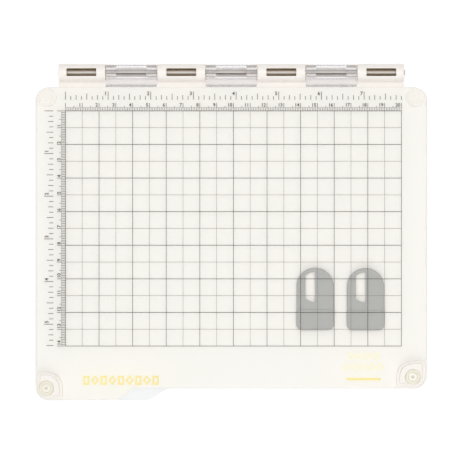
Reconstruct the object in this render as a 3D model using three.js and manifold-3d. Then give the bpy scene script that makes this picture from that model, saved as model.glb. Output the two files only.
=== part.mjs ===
// Hinged stamping platform: a cream moulded base with a steel sheet under its work surface, a clear lid on a
// seven-knuckle rod hinge at the back, two spacer posts in the front corners and two flat magnets that hold the paper.
// Millimetres, +Z up. The origin is the centre of the underside: +X to the right, +Y to the hinge at the back.

import * as THREE from 'three';
import { mergeVertices } from 'three/addons/utils/BufferGeometryUtils.js';
import Module from 'manifold-3d';

const wasm = await Module();
wasm.setup();

// ---------------------------------------------------------------- driving dimensions

// heights
const FOOT_TOP_Z = 1.9;        // rubber feet stand on z = 0
const SHELL_Z = 1.6;           // underside of the shell's walls and of the cover
const SURFACE_Z = 10.0;        // work surface
const SKIN = 1.6;              // thickness of the work surface's moulding
const WALL = 2.0;              // side walls
const LID_Z = 15.0;            // underside of the closed lid
const LID_TOP_Z = 18.0;
const FIT = 0.3;               // gap between pieces that touch

// outlines
const BASE_HALF_X = 117.0;
const BASE_BACK_Y = 86.3;
const BASE_FRONT_Y = -93.2;    // front edge on the right
const BASE_TAB_Y = -100.2;     // front edge of the deeper left part
const BASE_SLANT = [-67.9, -58.2]; // where the front steps back
const LID_HALF_X = 115.6;
const LID_BACK_Y = 86.2;
const LID_FRONT_Y = -93.1;
const LID_TAB_Y = -100.1;
const LID_SLANT = [-49.3, -37.8];  // further right than the base's, which leaves a finger lift
const CORNER_R = 7.5;

// hinge
const AXIS_Y = 95.2;
const AXIS_Z = 13.4;
const RAIL_HALF_X = 102.85;
const RAIL_FLOOR_Z = 8.1;
const KNUCKLE_R = 5.0;
const CLEAR_R = LID_TOP_Z - AXIS_Z; // 4.6, flush with the lid's top
const ROD_R = 1.75;
const BORE_R = 2.02;
const ROD_X = [-100.9, 103.6];
const BLIND_X = -101.2;        // the bore's closed left end
const BASE_KNUCKLES = [[-102.85, -75.1], [-44.1, -15.5], [15.5, 44.1], [75.1, 102.85]];
const BASE_WINDOW_X = [-89.3, -29.8, 29.8, 89.3];
const BASE_WINDOW = [17.8, 4.6];
const LID_KNUCKLE_X = [-59.6, 0, 59.6];
const LID_KNUCKLE_HALF = 15.1;
const TONGUE_Y = 87.0; // the thick root of each clear knuckle, just behind the lid's back edge
const TONGUE_Z = 10.6;
const LID_COLLAR = 6.0;        // closed collar at each end of a clear knuckle
const LID_WINDOW_Y = [92.2, 98.6];
const LID_WINDOW_Z = 11.0;

// corner fittings: [x, y] of the ring's centre
const POST_LEFT = [-110.4, -93.15];
const POST_RIGHT = [108.25, -86.4];
const POST_R = 9.5;
const POST_FLANGE_Z = 11.9;
const POST_STEP = 1.6;
const POST_TOP_Z = LID_Z - FIT;
const RIVET_HEAD_R = 4.2;
const BUMPERS = [[-110.0, 80.4], [110.0, 80.4]];
const BUMPER_R = 5.6;

// inside and underneath
const SHEET = { x: 104, y: [-83.5, 75.5], z: [7.2, 8.1] };
const COVER_TOP_Z = 3.8;
const RIB_TOP_Z = 6.9;
const SCREWS = [[-109, 70], [0, 80.5], [109, 70], [-109, -75], [0, -87.6], [109, -70]];
const FEET = { front_left: [-98, -85], front_right: [98, -79], rear_left: [-91, 86], rear_right: [91, 86] };
const FOOT_R = 6.0;

// magnets: centre of the round end
const MAGNET_AT = { left: [50.0, -32.4], right: [80.1, -32.6] };
const MAGNET_R = 11.2;
const MAGNET_TAIL = 26.0;      // from the round end's centre to the straight end
const MAGNET_BLOCK = 12.0;     // length of the raised block at the straight end
const MAGNET_PAD_Z = [10.3, 10.7];
const MAGNET_Z = 11.0;
const MAGNET_TOP_Z = 13.0;
const MAGNET_BLOCK_Z = 13.6;
const MAGNET_CORNER_R = 3.2;
const MAGNET_WINDOW = { left: -5.8, right: 0, r: 8.6, top: 8.6, bottom: -9.4 };
const DISC_R = 4.0;
const DISC_TOP_Z = 12.1;
const DISC_AT = [[5.5, -1.4], [0, -18.6]];

// ---------------------------------------------------------------- tools for solids

function solid(geometry) {
  const g = geometry.index ? geometry.toNonIndexed() : geometry.clone();
  for (const name of Object.keys(g.attributes)) if (name !== 'position') g.deleteAttribute(name);
  const merged = mergeVertices(g, 1e-4);
  const p = merged.attributes.position.array;
  const at = merged.index.array;
  const tris = [];
  let volume = 0;
  for (let i = 0; i < at.length; i += 3) {
    const [a, b, c] = [at[i], at[i + 1], at[i + 2]];
    if (a === b || b === c || c === a) continue;
    tris.push(a, b, c);
    const [u, v, w] = [a, b, c].map((k) => new THREE.Vector3(p[3 * k], p[3 * k + 1], p[3 * k + 2]));
    volume += u.dot(v.cross(w));
  }
  if (volume < 0) for (let i = 0; i < tris.length; i += 3) [tris[i + 1], tris[i + 2]] = [tris[i + 2], tris[i + 1]];
  return new wasm.Manifold(new wasm.Mesh({
    numProp: 3,
    vertProperties: Float32Array.from(p),
    triVerts: Uint32Array.from(tris),
  }));
}

function surface(body) {
  const mesh = body.getMesh();
  const geometry = new THREE.BufferGeometry();
  geometry.setAttribute('position', new THREE.BufferAttribute(Float32Array.from(mesh.vertProperties), 3));
  geometry.setIndex(new THREE.BufferAttribute(Uint32Array.from(mesh.triVerts), 1));
  geometry.computeVertexNormals();
  return geometry;
}

// Moves each side of a counter-clockwise outline inwards by d.
function inset(points, d) {
  const n = points.length;
  const side = points.map(([x, y], i) => {
    const [x2, y2] = points[(i + 1) % n];
    const l = Math.hypot(x2 - x, y2 - y);
    const [dx, dy] = [(x2 - x) / l, (y2 - y) / l];
    return { x: x - dy * d, y: y + dx * d, dx, dy };
  });
  return points.map((_, i) => {
    const a = side[(i + n - 1) % n];
    const b = side[i];
    const t = ((b.x - a.x) * b.dy - (b.y - a.y) * b.dx) / (a.dx * b.dy - a.dy * b.dx);
    return [a.x + a.dx * t, a.y + a.dy * t];
  });
}

// Rounds each corner of an outline with its own radius.
function rounded(points, radii, steps = 6) {
  const n = points.length;
  const out = [];
  points.forEach(([x, y], i) => {
    const r = Array.isArray(radii) ? radii[i] : radii;
    if (!r) {
      out.push([x, y]);
      return;
    }
    const p = new THREE.Vector2(x, y);
    const a = new THREE.Vector2(...points[(i + n - 1) % n]).sub(p).normalize();
    const b = new THREE.Vector2(...points[(i + 1) % n]).sub(p).normalize();
    const half = Math.acos(THREE.MathUtils.clamp(a.dot(b), -1, 1)) / 2;
    const centre = a.clone().add(b).normalize().multiplyScalar(r / Math.sin(half)).add(p);
    const from = a.clone().multiplyScalar(r / Math.tan(half)).add(p).sub(centre).angle();
    let turn = b.clone().multiplyScalar(r / Math.tan(half)).add(p).sub(centre).angle() - from;
    if (turn > Math.PI) turn -= 2 * Math.PI;
    if (turn < -Math.PI) turn += 2 * Math.PI;
    const k = Math.max(2, Math.round(steps * Math.abs(turn) / (Math.PI / 2)));
    for (let j = 0; j <= k; j++) {
      const t = from + (turn * j) / k;
      out.push([centre.x + r * Math.cos(t), centre.y + r * Math.sin(t)]);
    }
  });
  return out;
}

function shape(points) {
  return new THREE.Shape(points.map(([x, y]) => new THREE.Vector2(x, y)));
}

// An outline raised from z0 to z1, with its top and bottom edges eased by ease.
function slab(points, z0, z1, ease = 0, facets = 1) {
  const g = new THREE.ExtrudeGeometry(shape(points), {
    depth: z1 - z0 - 2 * ease,
    bevelEnabled: ease > 0,
    bevelThickness: ease,
    bevelSize: ease,
    bevelOffset: -ease,
    bevelSegments: facets,
    steps: 1,
  });
  g.translate(0, 0, z0 + ease);
  return solid(g);
}

// A profile of (y, z) points drawn out along X.
function beam(points, x0, x1) {
  const g = new THREE.ExtrudeGeometry(shape(points), { depth: x1 - x0, bevelEnabled: false, steps: 1 });
  g.applyMatrix4(new THREE.Matrix4().makeBasis(
    new THREE.Vector3(0, 1, 0), new THREE.Vector3(0, 0, 1), new THREE.Vector3(1, 0, 0)));
  g.translate(x0, 0, 0);
  return solid(g);
}

function block(x0, x1, y0, y1, z0, z1) {
  const g = new THREE.BoxGeometry(x1 - x0, y1 - y0, z1 - z0);
  g.translate((x0 + x1) / 2, (y0 + y1) / 2, (z0 + z1) / 2);
  return solid(g);
}

// A (radius, height) profile turned about a vertical axis at x, y.
function turned(profile, x = 0, y = 0, sides = 20) {
  const g = new THREE.LatheGeometry(profile.map(([r, z]) => new THREE.Vector2(r, z)), sides);
  g.rotateX(Math.PI / 2);
  g.translate(x, y, 0);
  return solid(g);
}

function post(r, x, y, z0, z1, sides = 20) {
  return turned([[0, z0], [r, z0], [r, z1], [0, z1]], x, y, sides);
}

// A round bar along X about the hinge axis.
function bar(r, x0, x1, sides = 24, ease = 0) {
  const profile = ease
    ? [[0, x0], [r - ease, x0], [r, x0 + ease], [r, x1 - ease], [r - ease, x1], [0, x1]]
    : [[0, x0], [r, x0], [r, x1], [0, x1]];
  const g = new THREE.LatheGeometry(profile.map(([a, b]) => new THREE.Vector2(a, b)), sides);
  g.rotateZ(-Math.PI / 2);
  g.translate(0, AXIS_Y, AXIS_Z);
  return solid(g);
}

function arc(cx, cy, r, from, to, steps) {
  return Array.from({ length: steps + 1 }, (_, i) => {
    const t = THREE.MathUtils.degToRad(from + ((to - from) * i) / steps);
    return [cx + r * Math.cos(t), cy + r * Math.sin(t)];
  });
}

const part = new THREE.Group();
part.name = 'stamping_platform';

function add(name, body, look) {
  const mesh = new THREE.Mesh(surface(body), new THREE.MeshStandardMaterial(look));
  mesh.name = name;
  part.add(mesh);
  return mesh;
}

const CREAM = { color: 0xf8f3ea, roughness: 0.42, metalness: 0 };
const CLEAR = { color: 0xeef2f3, roughness: 0.06, metalness: 0, transparent: true, opacity: 0.35 };
const STEEL = { color: 0xb9b4aa, roughness: 0.28, metalness: 1 };
const GREY = { color: 0xb0b0ac, roughness: 0.5, metalness: 0 };
const NYLON = { color: 0xf0e8d8, roughness: 0.45, metalness: 0 };
const RUBBER = { color: 0x3a3a3a, roughness: 0.85, metalness: 0 };

// ---------------------------------------------------------------- base shell

const baseOutline = [
  [-BASE_HALF_X, BASE_TAB_Y], [BASE_SLANT[0], BASE_TAB_Y], [BASE_SLANT[1], BASE_FRONT_Y],
  [BASE_HALF_X, BASE_FRONT_Y], [BASE_HALF_X, BASE_BACK_Y], [-BASE_HALF_X, BASE_BACK_Y],
];
const baseRadii = [CORNER_R, 1.5, 2.5, CORNER_R, CORNER_R, CORNER_R];
const inner = (r, d) => r.map((v) => Math.max(0.6, v - d));

// The trough under the clear knuckles is a little wider than they are and open to the back.
const TROUGH_R = KNUCKLE_R + 0.3;
const lip = Math.asin((AXIS_Z - SURFACE_Z) / TROUGH_R);
const trough = arc(AXIS_Y, AXIS_Z, TROUGH_R, 180 + THREE.MathUtils.radToDeg(lip), 270, 8);
const railProfile = [
  [78, SHELL_Z], [AXIS_Y + KNUCKLE_R - 0.6, SHELL_Z], [AXIS_Y + KNUCKLE_R, SHELL_Z + 0.6],
  [AXIS_Y + KNUCKLE_R, RAIL_FLOOR_Z], ...trough.reverse(), [78, SURFACE_Z],
];
const knuckleProfile = [
  [AXIS_Y - KNUCKLE_R, 7], [AXIS_Y + KNUCKLE_R, 7],
  ...arc(AXIS_Y, AXIS_Z, KNUCKLE_R, 0, 180, 14),
];

let shell = slab(rounded(baseOutline, baseRadii, 8), SHELL_Z, SURFACE_Z, 0.8, 2)
  .add(beam(railProfile, -RAIL_HALF_X, RAIL_HALF_X));
for (const [x0, x1] of BASE_KNUCKLES) shell = shell.add(beam(knuckleProfile, x0, x1));
shell = shell
  .subtract(slab(rounded(inset(baseOutline, WALL), inner(baseRadii, WALL)), SHELL_Z - 1, SURFACE_Z - SKIN))
  .subtract(block(-RAIL_HALF_X + WALL, RAIL_HALF_X - WALL, 80, AXIS_Y + KNUCKLE_R - WALL, SHELL_Z - 1, RAIL_FLOOR_Z - WALL));
for (const [x, y] of SCREWS) {
  shell = shell.add(post(3.2, x, y, COVER_TOP_Z + FIT, SURFACE_Z - SKIN + 0.4, 16))
    .subtract(post(1.4, x, y, COVER_TOP_Z - 1, 7.4, 12));
}
shell = shell.subtract(bar(BORE_R, BLIND_X, RAIL_HALF_X + 1));
for (const x of BASE_WINDOW_X) {
  const [w, d] = BASE_WINDOW.map((v) => v / 2);
  shell = shell.subtract(slab(
    rounded([[x - w, AXIS_Y - d], [x + w, AXIS_Y - d], [x + w, AXIS_Y + d], [x - w, AXIS_Y + d]], 0.6, 3),
    10.4, 20));
}
for (const [x, y] of [POST_LEFT, POST_RIGHT]) shell = shell.subtract(post(2.5, x, y, 7, 12, 16));
for (const [x, y] of BUMPERS) shell = shell.subtract(post(BUMPER_R + FIT, x, y, SURFACE_Z - 0.5, 12));
add('base_top_shell', shell, CREAM);

// ---------------------------------------------------------------- steel sheet, cover, feet and screws

add('steel_sheet', slab(
  rounded([[-SHEET.x, SHEET.y[0]], [SHEET.x, SHEET.y[0]], [SHEET.x, SHEET.y[1]], [-SHEET.x, SHEET.y[1]]], 3, 4),
  ...SHEET.z), { color: 0x8f9295, roughness: 0.4, metalness: 1 });

const coverOutline = inset(baseOutline, WALL + FIT);
let cover = slab(rounded(coverOutline, inner(baseRadii, WALL + FIT)), SHELL_Z, COVER_TOP_Z)
  .add(block(-RAIL_HALF_X + WALL + FIT, RAIL_HALF_X - WALL - FIT, 80, AXIS_Y + KNUCKLE_R - WALL - FIT, SHELL_Z, COVER_TOP_Z));
for (const y of [-45, 0, 45]) cover = cover.add(block(-100, 100, y - 0.8, y + 0.8, COVER_TOP_Z - 0.5, RIB_TOP_Z));
for (const x of [-66, 0, 66]) cover = cover.add(block(x - 0.8, x + 0.8, -80, 72, COVER_TOP_Z - 0.5, RIB_TOP_Z));
for (const [x, y] of SCREWS) {
  cover = cover.subtract(post(3.0, x, y, SHELL_Z - 1, 3.0, 16)).subtract(post(1.45, x, y, 2.5, 5, 12));
}
for (const [x, y] of Object.values(FEET)) cover = cover.subtract(post(FOOT_R + FIT, x, y, SHELL_Z - 1, FOOT_TOP_Z + FIT));
add('bottom_cover', cover, { color: 0xf2ede3, roughness: 0.5, metalness: 0 });

for (const [where, [x, y]] of Object.entries(FEET)) {
  add(`foot_${where}`, turned([[0, 0], [5.3, 0], [5.8, 0.4], [FOOT_R, FOOT_TOP_Z], [0, FOOT_TOP_Z]], x, y), RUBBER);
}

SCREWS.forEach(([x, y], i) => {
  const screw = turned([[0, 1.9], [2.2, 1.9], [2.6, 2.2], [2.6, 2.7], [1.05, 2.7], [1.05, 6.6], [0.5, 7.0], [0, 7.0]], x, y, 12)
    .subtract(block(x - 1.5, x + 1.5, y - 0.35, y + 0.35, 1, 2.35))
    .subtract(block(x - 0.35, x + 0.35, y - 1.5, y + 1.5, 1, 2.35));
  add(`cover_screw_${i + 1}`, screw, STEEL);
});

// ---------------------------------------------------------------- corner posts, rivets and bumpers

// Each post fills its corner: straight to the two edges, and round about the rivet on the inside.
function postOutline([cx, cy], left, front) {
  return left
    ? { points: [[-LID_HALF_X, front], [cx + POST_R, front], [cx + POST_R, cy + POST_R], [-LID_HALF_X, cy + POST_R]], radii: [6.2, 0.8, POST_R, 2.0] }
    : { points: [[cx - POST_R, front], [LID_HALF_X, front], [LID_HALF_X, cy + POST_R], [cx - POST_R, cy + POST_R]], radii: [0.8, 6.2, 2.0, POST_R] };
}
for (const [side, at, front] of [['left', POST_LEFT, BASE_TAB_Y + 1.2], ['right', POST_RIGHT, BASE_FRONT_Y + 1.2]]) {
  const { points, radii } = postOutline(at, side === 'left', front);
  const body = slab(rounded(points, radii), SURFACE_Z + FIT, POST_FLANGE_Z, 0.2)
    .add(slab(rounded(inset(points, POST_STEP), inner(radii, POST_STEP)), SURFACE_Z + FIT, POST_TOP_Z, 0.4))
    .subtract(post(2.5, ...at, 9, 16, 16))
    .subtract(post(RIVET_HEAD_R + FIT, ...at, 13.4, 16));
  add(`front_post_${side}`, body, CREAM);
  add(`post_rivet_${side}`, turned([
    [1.3, 7.2], [1.9, 7.2], [2.2, 7.9], [2.2, 13.7], [RIVET_HEAD_R, 13.7], [RIVET_HEAD_R, 14.2], [3.8, 14.6],
    [2.6, 14.6], [2.6, 14.0], [1.3, 13.6], [1.3, 7.2],
  ], ...at), NYLON);
  add(`rivet_pin_${side}`, turned([
    [0, 7.5], [1.0, 7.5], [1.0, 13.75], [2.3, 14.28], [2.3, 14.55], [0.8, 14.55], [0.7, 14.1], [0, 14.1],
  ], ...at, 12), NYLON);
}
BUMPERS.forEach(([x, y], i) => {
  add(`rear_bumper_${i ? 'right' : 'left'}`, turned([
    [0, SURFACE_Z - 0.2], [BUMPER_R - 0.2, SURFACE_Z - 0.2], [BUMPER_R, SURFACE_Z], [BUMPER_R, 13.8], [5.2, 14.4],
    [4.4, LID_Z - FIT], [0, LID_Z - FIT],
  ], x, y), { color: 0xf4f1ec, roughness: 0.35, metalness: 0 });
});

// ---------------------------------------------------------------- hinge rod and lid

add('hinge_rod', bar(ROD_R, ...ROD_X, 24, 0.4), STEEL);

const lidOutline = [
  [-LID_HALF_X, LID_TAB_Y], [LID_SLANT[0], LID_TAB_Y], [LID_SLANT[1], LID_FRONT_Y],
  [LID_HALF_X, LID_FRONT_Y], [LID_HALF_X, LID_BACK_Y], [-LID_HALF_X, LID_BACK_Y],
];
let lid = slab(rounded(lidOutline, [CORNER_R - 0.4, 1.5, 2.5, CORNER_R - 0.4, CORNER_R - 0.4, CORNER_R - 0.4]), LID_Z, LID_TOP_Z, 0.4);
for (const x of LID_KNUCKLE_X) {
  lid = lid
    .add(block(x - LID_KNUCKLE_HALF, x + LID_KNUCKLE_HALF, 84, AXIS_Y, LID_Z, LID_TOP_Z))
    .add(block(x - LID_KNUCKLE_HALF, x + LID_KNUCKLE_HALF, TONGUE_Y, AXIS_Y, TONGUE_Z, LID_TOP_Z))
    .add(bar(CLEAR_R, x - LID_KNUCKLE_HALF, x + LID_KNUCKLE_HALF, 32));
}
lid = lid.subtract(bar(BORE_R, -RAIL_HALF_X, RAIL_HALF_X));
for (const x of LID_KNUCKLE_X) {
  const w = LID_KNUCKLE_HALF - LID_COLLAR;
  lid = lid.subtract(block(x - w, x + w, ...LID_WINDOW_Y, LID_WINDOW_Z, 20));
}
add('lid', lid, CLEAR);

// ---------------------------------------------------------------- magnets

function magnetOutline(grow = 0) {
  const r = MAGNET_R + grow;
  const foot = rounded([[-r, -8], [-r, -MAGNET_TAIL - grow], [r, -MAGNET_TAIL - grow], [r, -8]], [0, MAGNET_CORNER_R + grow, MAGNET_CORNER_R + grow, 0], 4);
  return [...foot, ...arc(0, 0, r, 0, 180, 16)];
}
// Half of a round-ended slot, cut off straight on the left.
function magnetWindow(grow = 0) {
  const { left, right, r, top, bottom } = MAGNET_WINDOW;
  const [l, e, R] = [left - grow, right + grow, r + grow];
  const reach = THREE.MathUtils.radToDeg(Math.acos(l / R));
  const mid = top - r;
  const low = bottom + r;
  return [
    ...arc(0, low, R, 360 - reach, 270, 4),
    [e, low - R], [e, mid + R],
    ...arc(0, mid, R, 90, reach, 4),
  ].filter(([x, y], i, all) => {
    const [u, v] = all[(i + all.length - 1) % all.length];
    return Math.hypot(x - u, y - v) > 1e-3;
  });
}
for (const [side, [x, y]] of Object.entries(MAGNET_AT)) {
  const edge = -MAGNET_TAIL + MAGNET_BLOCK;
  const wide = MAGNET_R + 0.3;
  let body = slab(magnetOutline(), MAGNET_Z, MAGNET_TOP_Z, 0.35)
    .add(slab(rounded([[-wide, -MAGNET_TAIL], [wide, -MAGNET_TAIL], [wide, edge], [-wide, edge]], [MAGNET_CORNER_R + 0.2, MAGNET_CORNER_R + 0.2, 0.5, 0.5], 4),
      MAGNET_Z, MAGNET_BLOCK_Z, 0.35))
    .subtract(slab(magnetWindow(), MAGNET_Z - 1, MAGNET_BLOCK_Z + 1));
  for (const [u, v] of DISC_AT) body = body.subtract(post(DISC_R + FIT + 0.1, u, v, MAGNET_Z - 1, DISC_TOP_Z + FIT, 16));
  const bodyMesh = add(`magnet_${side}_body`, body, GREY);
  bodyMesh.position.set(x, y, 0);
  DISC_AT.forEach(([u, v], i) => {
    add(`magnet_${side}_disc_${i + 1}`, turned([
      [0, MAGNET_Z], [DISC_R - 0.2, MAGNET_Z], [DISC_R, MAGNET_Z + 0.2], [DISC_R, DISC_TOP_Z - 0.2], [DISC_R - 0.2, DISC_TOP_Z], [0, DISC_TOP_Z],
    ], u, v, 16), { color: 0xc4c6c8, roughness: 0.25, metalness: 1 }).position.set(x, y, 0);
  });
  add(`magnet_${side}_pad`, slab(magnetOutline(-0.7), ...MAGNET_PAD_Z)
    .subtract(slab(magnetWindow(0.3), 9, 12)), { color: 0x4b4b49, roughness: 0.95, metalness: 0 }).position.set(x, y, 0);
}

export default part;
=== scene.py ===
import math

import bpy
import bmesh
from mathutils import Matrix, Vector


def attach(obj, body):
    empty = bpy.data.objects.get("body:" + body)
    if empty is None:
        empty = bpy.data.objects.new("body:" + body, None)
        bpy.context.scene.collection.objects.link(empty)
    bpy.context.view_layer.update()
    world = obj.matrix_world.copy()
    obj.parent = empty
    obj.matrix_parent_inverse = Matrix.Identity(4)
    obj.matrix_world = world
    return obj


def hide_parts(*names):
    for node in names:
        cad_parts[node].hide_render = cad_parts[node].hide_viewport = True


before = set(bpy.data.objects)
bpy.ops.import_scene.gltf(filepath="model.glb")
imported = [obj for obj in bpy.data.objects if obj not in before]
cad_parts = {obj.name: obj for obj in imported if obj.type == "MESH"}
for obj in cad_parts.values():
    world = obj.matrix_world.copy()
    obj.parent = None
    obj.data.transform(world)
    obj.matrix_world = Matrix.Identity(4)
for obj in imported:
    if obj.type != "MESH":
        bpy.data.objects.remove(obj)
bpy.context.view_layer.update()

# ------------------------------------------------------------------ dimensions, in millimetres, as in the CAD source
MM = 0.001
SHELL_Z, SURFACE_Z, SKIN, WALL, FIT = 1.6, 10.0, 1.6, 2.0, 0.3
LID_Z, LID_TOP_Z = 15.0, 18.0
BASE_HALF_X, BASE_BACK_Y, BASE_FRONT_Y, BASE_TAB_Y = 117.0, 86.3, -93.2, -100.2
BASE_SLANT = (-67.9, -58.2)
LID_HALF_X, LID_BACK_Y, LID_FRONT_Y, LID_TAB_Y = 115.6, 86.2, -93.1, -100.1
LID_SLANT = (-49.3, -37.8)
CORNER_R = 7.5
AXIS_Y, AXIS_Z = 95.2, 13.4
RAIL_HALF_X, RAIL_FLOOR_Z, KNUCKLE_R, CLEAR_R = 102.85, 8.1, 5.0, 4.6
ROD_R, BORE_R, BLIND_X = 1.75, 2.02, -101.2
ROD_X = (-100.9, 103.6)
BASE_KNUCKLES = ((-102.85, -75.1), (-44.1, -15.5), (15.5, 44.1), (75.1, 102.85))
BASE_WINDOW_X = (-89.3, -29.8, 29.8, 89.3)
LID_KNUCKLE_X = (-59.6, 0.0, 59.6)
LID_KNUCKLE_HALF, LID_COLLAR = 15.1, 6.0
TONGUE_Y, TONGUE_Z = 87.0, 10.6
LID_WINDOW_Y, LID_WINDOW_Z = (92.2, 98.6), 11.0
POSTS = {"left": (-110.4, -93.15), "right": (108.25, -86.4)}
POST_R, POST_FLANGE_Z, POST_STEP, POST_TOP_Z = 9.5, 11.9, 1.6, LID_Z - FIT
BUMPERS = {"left": (-110.0, 80.4), "right": (110.0, 80.4)}
BUMPER_R = 5.6
SCREWS = ((-109, 70), (0, 80.5), (109, 70), (-109, -75), (0, -87.6), (109, -70))
FEET = {"front_left": (-98, -85), "front_right": (98, -79), "rear_left": (-91, 86), "rear_right": (91, 86)}
MAGNET_AT = {"left": (50.0, -32.4), "right": (80.1, -32.6)}
MAGNET_R, MAGNET_TAIL, MAGNET_BLOCK, MAGNET_CORNER_R = 11.2, 26.0, 12.0, 3.2
MAGNET_TOP_Z, MAGNET_BLOCK_Z, DISC_TOP_Z = 13.0, 13.6, 12.1
DISC_AT = ((5.5, -1.4), (0.0, -18.6))
GRID_X, GRID_Y = -98.75, 72.1  # the printed grid's upper left corner

# ------------------------------------------------------------------ mesh tools


def link(name, verts, faces):
    me = bpy.data.meshes.new(name)
    me.from_pydata([(x * MM, y * MM, z * MM) for x, y, z in verts], [], faces)
    me.update()
    o = bpy.data.objects.new(name, me)
    bpy.context.scene.collection.objects.link(o)
    return o


def rounded(points, radii, steps=14):
    """An outline with each corner rounded to its own radius."""
    n, out = len(points), []
    for i, (x, y) in enumerate(points):
        r = radii[i] if isinstance(radii, (list, tuple)) else radii
        if not r:
            out.append((x, y))
            continue
        p = Vector((x, y))
        a = (Vector(points[i - 1]) - p).normalized()
        b = (Vector(points[(i + 1) % n]) - p).normalized()
        half = math.acos(max(-1, min(1, a.dot(b)))) / 2
        c = p + (a + b).normalized() * (r / math.sin(half))
        s, e = p + a * (r / math.tan(half)) - c, p + b * (r / math.tan(half)) - c
        t0 = math.atan2(s.y, s.x)
        turn = (math.atan2(e.y, e.x) - t0 + math.pi) % (2 * math.pi) - math.pi
        k = max(3, round(steps * abs(turn) / (math.pi / 2)))
        out += [(c.x + r * math.cos(t0 + turn * j / k), c.y + r * math.sin(t0 + turn * j / k)) for j in range(k + 1)]
    return out


def arc(cx, cy, r, start, end, steps):
    return [(cx + r * math.cos(math.radians(start + (end - start) * i / steps)),
             cy + r * math.sin(math.radians(start + (end - start) * i / steps))) for i in range(steps + 1)]


def inset(points, d):
    """Each vertex of a counter-clockwise outline moved in along its mitre."""
    n, out = len(points), []
    for i in range(n):
        p = Vector(points[i])
        d1 = (p - Vector(points[i - 1])).normalized()
        d2 = (Vector(points[(i + 1) % n]) - p).normalized()
        n1, n2 = Vector((-d1.y, d1.x)), Vector((-d2.y, d2.x))
        out.append(tuple(p + (n1 + n2) * (d / max(0.2, 1 + n1.dot(n2)))))
    return out


def slab(name, outline, z0, z1, top=0.0, bottom=0.0, segs=4, along="z"):
    """An outline raised from z0 to z1 with rounded edges. along="x" lays it down: the outline is (y, z) and the height is x."""
    rings = []
    if bottom:
        for k in range(segs + 1):
            t = math.pi / 2 * k / segs
            rings.append((inset(outline, bottom * (1 - math.sin(t))), z0 + bottom * (1 - math.cos(t))))
    else:
        rings.append((outline, z0))
    if top:
        for k in range(segs + 1):
            t = math.pi / 2 * k / segs
            rings.append((inset(outline, top * (1 - math.cos(t))), z1 - top * (1 - math.sin(t))))
    else:
        rings.append((outline, z1))
    n = len(outline)
    verts, faces = [], []
    for ring, z in rings:
        verts += [(z, x, y) if along == "x" else (x, y, z) for x, y in ring]
    for r in range(len(rings) - 1):
        for i in range(n):
            j = (i + 1) % n
            faces.append((r * n + i, r * n + j, (r + 1) * n + j, (r + 1) * n + i))
    faces.append(tuple(reversed(range(n))))
    faces.append(tuple(range((len(rings) - 1) * n, len(rings) * n)))
    return link(name, verts, faces)


def lathe(name, profile, x=0.0, y=0.0, sides=64, along="z"):
    """A (radius, height) profile turned about a vertical axis at x, y. along="x" turns it about the hinge axis instead."""
    closed = profile[0] == profile[-1]
    pts = profile[:-1] if closed else profile
    verts, rows = [], []
    for r, z in pts:
        if r < 1e-6:
            rows.append([len(verts)])
            verts.append((0, 0, z))
        else:
            rows.append(list(range(len(verts), len(verts) + sides)))
            verts += [(r * math.cos(2 * math.pi * i / sides), r * math.sin(2 * math.pi * i / sides), z) for i in range(sides)]
    faces = []
    pairs = list(zip(rows, rows[1:])) + ([(rows[-1], rows[0])] if closed else [])
    for a, b in pairs:
        for i in range(sides):
            j = (i + 1) % sides
            if len(a) == 1 and len(b) == 1:
                continue
            if len(a) == 1:
                faces.append((a[0], b[j], b[i]))
            elif len(b) == 1:
                faces.append((a[i], a[j], b[0]))
            else:
                faces.append((a[i], a[j], b[j], b[i]))
    if along == "x":
        verts = [(z, AXIS_Y + u, AXIS_Z + v) for u, v, z in verts]
    else:
        verts = [(x + u, y + v, z) for u, v, z in verts]
    return link(name, verts, faces)


def block(name, x0, x1, y0, y1, z0, z1):
    return slab(name, [(x0, y0), (x1, y0), (x1, y1), (x0, y1)], z0, z1)


def bake(o):
    bpy.context.view_layer.update()
    me = bpy.data.meshes.new_from_object(o.evaluated_get(bpy.context.evaluated_depsgraph_get()))
    o.modifiers.clear()
    old = o.data
    o.data = me
    me.name = o.name
    bpy.data.meshes.remove(old)
    return o


def merge(o, others, operation="UNION"):
    """Joins the others into o, or cuts them out of it, and removes them."""
    for other in others:
        m = o.modifiers.new("m", "BOOLEAN")
        m.operation, m.object, m.solver = operation, other, "EXACT"
    bake(o)
    for other in others:
        me = other.data
        bpy.data.objects.remove(other)
        bpy.data.meshes.remove(me)
    return o


def cut(o, *others):
    return merge(o, others, "DIFFERENCE")


def ease(o, width, segs=3, angle=32):
    """Rounds the sharp edges and smooths the shading."""
    bm = bmesh.new()
    bm.from_mesh(o.data)
    bmesh.ops.remove_doubles(bm, verts=bm.verts, dist=2e-6)
    bmesh.ops.dissolve_degenerate(bm, edges=bm.edges, dist=1e-6)
    bmesh.ops.dissolve_limit(bm, angle_limit=math.radians(0.3), verts=bm.verts, edges=bm.edges)
    bm.to_mesh(o.data)
    bm.free()
    if width:
        b = o.modifiers.new("edge", "BEVEL")
        b.width, b.segments, b.limit_method, b.angle_limit = width * MM, segs, "ANGLE", math.radians(angle)
        b.use_clamp_overlap, b.miter_outer = True, "MITER_ARC"
        bake(o)
    return smooth(o)


def smooth(o, angle=40):
    o.data.polygons.foreach_set("use_smooth", [p.area < 3e-4 for p in o.data.polygons])  # large flat faces stay flat
    o.data.set_sharp_from_angle(angle=math.radians(angle))
    w = o.modifiers.new("normals", "WEIGHTED_NORMAL")
    w.keep_sharp, w.weight = True, 80
    return bake(o)


# ------------------------------------------------------------------ materials


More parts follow.
